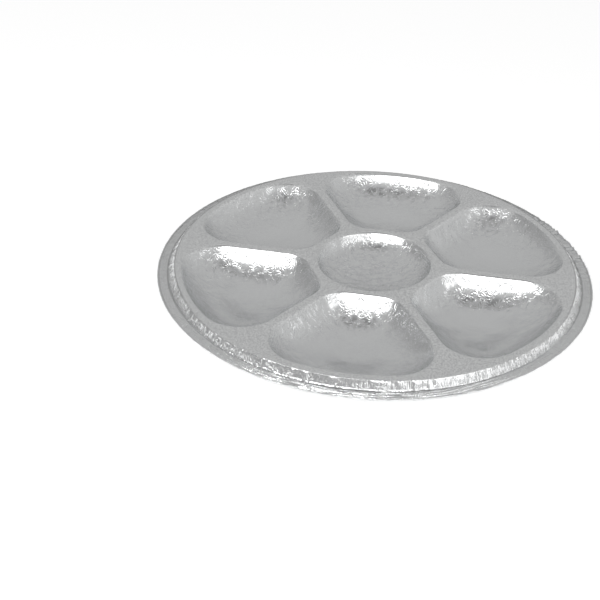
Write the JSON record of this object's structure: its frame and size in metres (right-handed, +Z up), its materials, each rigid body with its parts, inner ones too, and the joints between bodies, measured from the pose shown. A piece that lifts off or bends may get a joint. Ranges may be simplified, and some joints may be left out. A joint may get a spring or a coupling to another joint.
{
  "type": "divided serving platter",
  "caption": "Round disposable serving platter pressed from embossed foil, with a centre well, a ring of outer wells, a crimped skirt and a rolled rim.",
  "frame": {"origin": "centre of the platter on the plane that the outer wells stand on, under the middle of the centre well", "axes": "+Z up through the centre well, +X through the middle of one outer well"},
  "size_m": [0.35, 0.35, 0.024],
  "materials": {
    "foil": "bright rolled foil with a fine embossed leaf pattern"
  },
  "bodies": {
    "root": {"platter": "foil"}
  },
  "joints": []
}
